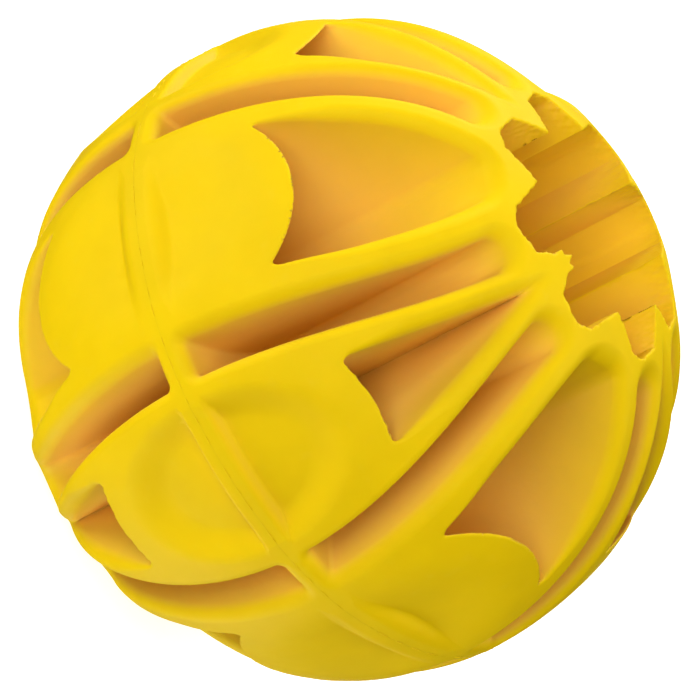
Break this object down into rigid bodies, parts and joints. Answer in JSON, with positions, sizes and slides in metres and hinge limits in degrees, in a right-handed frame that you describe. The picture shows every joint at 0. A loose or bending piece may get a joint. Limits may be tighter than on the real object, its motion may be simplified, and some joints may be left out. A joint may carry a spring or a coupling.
{
  "type": "playground rubber ball",
  "caption": "Solid moulded rubber ball with curved grooves, cored pockets and a toothed star socket on each pole, bonded at an equator rib.",
  "frame": {"origin": "the centre of the ball, on the seam plane", "axes": "+Z along the polar axis, on which the mould opens and both star sockets lie; the narrow segments are centred on +X, +Y, -X and -Y, and the broad ones on the diagonals"},
  "size_m": [0.1182, 0.1182, 0.1138],
  "materials": {
    "moulded_rubber": "satin, smooth moulded yellow rubber",
    "seam_rubber": "satin, cured rubber cement of the same yellow"
  },
  "bodies": {
    "root": {"upper_half": "moulded_rubber", "lower_half": "moulded_rubber", "seam_bond": "seam_rubber"}
  },
  "joints": []
}
